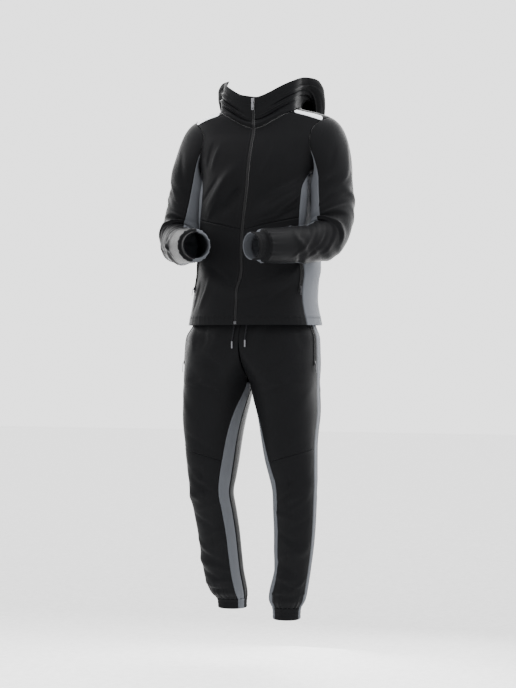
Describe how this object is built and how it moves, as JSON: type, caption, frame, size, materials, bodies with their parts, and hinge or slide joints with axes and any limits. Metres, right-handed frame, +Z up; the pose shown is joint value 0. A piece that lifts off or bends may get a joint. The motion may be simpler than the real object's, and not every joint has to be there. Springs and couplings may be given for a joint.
{
  "type": "hooded tracksuit, jacket and joggers",
  "caption": "Hooded zip jacket and cuffed joggers in black knit with grey side panels, worn form, hollow, hood lying down.",
  "frame": {"origin": "centre of the neck and shoulders, where the wearer holds the suit up", "axes": "+Z up, -Y the front of the suit, +X the wearer's left"},
  "size_m": [0.5536, 0.5212, 1.4893],
  "materials": {
    "black_cloth": "smooth double knit with a soft satin sheen",
    "grey_cloth": "smooth double knit, cool mid grey",
    "black_rib": "gathered elastic knit",
    "silver_strip": "light grey reflective tape",
    "zip_tape": "black reverse coil zip",
    "drawstring": "round braided cord",
    "zip_metal": "satin metal",
    "zip_stop": "satin grey box stop"
  },
  "bodies": {
    "root": {"ankle_cuff_left": "black_rib", "ankle_cuff_right": "black_rib", "cuff_left": "black_rib", "cuff_right": "black_rib", "drawstring_left": "drawstring", "drawstring_right": "drawstring", "drawstring_tip_left": "zip_metal", "drawstring_tip_right": "zip_metal", "hood_left": "black_cloth", "hood_right": "black_cloth", "jacket_back": "black_cloth", "jacket_front_lower_left": "black_cloth", "jacket_front_lower_right": "black_cloth", "jacket_front_upper_left": "black_cloth", "jacket_front_upper_right": "black_cloth", "jacket_pocket_left_slider": "zip_metal", "jacket_pocket_right_slider": "zip_metal", "jacket_pocket_zip_left": "zip_tape", "jacket_pocket_zip_right": "zip_tape", "jacket_side_left": "grey_cloth", "jacket_side_right": "grey_cloth", "jacket_yoke_left": "black_cloth", "jacket_yoke_right": "black_cloth", "jacket_zip": "zip_tape", "jacket_zip_slider": "zip_metal", "jacket_zip_stop": "zip_stop", "joggers_back_left": "black_cloth", "joggers_back_right": "black_cloth", "joggers_front_lower_left": "black_cloth", "joggers_front_lower_right": "black_cloth", "joggers_front_upper_left": "black_cloth", "joggers_front_upper_right": "black_cloth", "joggers_inner_stripe_left": "grey_cloth", "joggers_inner_stripe_right": "grey_cloth", "joggers_outer_stripe_left": "grey_cloth", "joggers_outer_stripe_right": "grey_cloth", "joggers_pocket_left_slider": "zip_metal", "joggers_pocket_right_slider": "zip_metal", "joggers_pocket_zip_left": "zip_tape", "joggers_pocket_zip_right": "zip_tape", "shoulder_strip_left": "silver_strip", "shoulder_strip_right": "silver_strip", "sleeve_under_left": "grey_cloth", "sleeve_under_right": "grey_cloth", "sleeve_upper_left": "black_cloth", "sleeve_upper_right": "black_cloth", "waistband": "black_rib"},
    "jacket_pocket_left_pull": {"jacket_pocket_left_pull": "zip_metal"},
    "jacket_pocket_right_pull": {"jacket_pocket_right_pull": "zip_metal"},
    "jacket_zip_pull": {"jacket_zip_pull": "zip_metal"},
    "joggers_pocket_left_pull": {"joggers_pocket_left_pull": "zip_metal"},
    "joggers_pocket_right_pull": {"joggers_pocket_right_pull": "zip_metal"}
  },
  "joints": [
    {"name": "jacket_pocket_left_pull_hinge", "type": "hinge", "parent": "root", "child": "jacket_pocket_left_pull", "pos_m": [0.15205, -0.08658, -0.48817], "axis": [-0.5815, -0.8136, 0], "range_deg": [0, 150]},
    {"name": "jacket_pocket_right_pull_hinge", "type": "hinge", "parent": "root", "child": "jacket_pocket_right_pull", "pos_m": [-0.17079, -0.06463, -0.48694], "axis": [-0.4706, 0.8824, 0], "range_deg": [0, 150]},
    {"name": "jacket_zip_pull_hinge", "type": "hinge", "parent": "root", "child": "jacket_zip_pull", "pos_m": [0.01875, -0.10785, 0.02388], "axis": [-0.9999, -0.0149, 0], "range_deg": [0, 150]},
    {"name": "joggers_pocket_left_pull_hinge", "type": "hinge", "parent": "root", "child": "joggers_pocket_left_pull", "pos_m": [0.17847, -0.03438, -0.6931], "axis": [-0.2991, -0.9542, 0], "range_deg": [0, 150]},
    {"name": "joggers_pocket_right_pull_hinge", "type": "hinge", "parent": "root", "child": "joggers_pocket_right_pull", "pos_m": [-0.21107, -0.03448, -0.69304], "axis": [-0.2845, 0.9587, 0], "range_deg": [0, 150]}
  ]
}
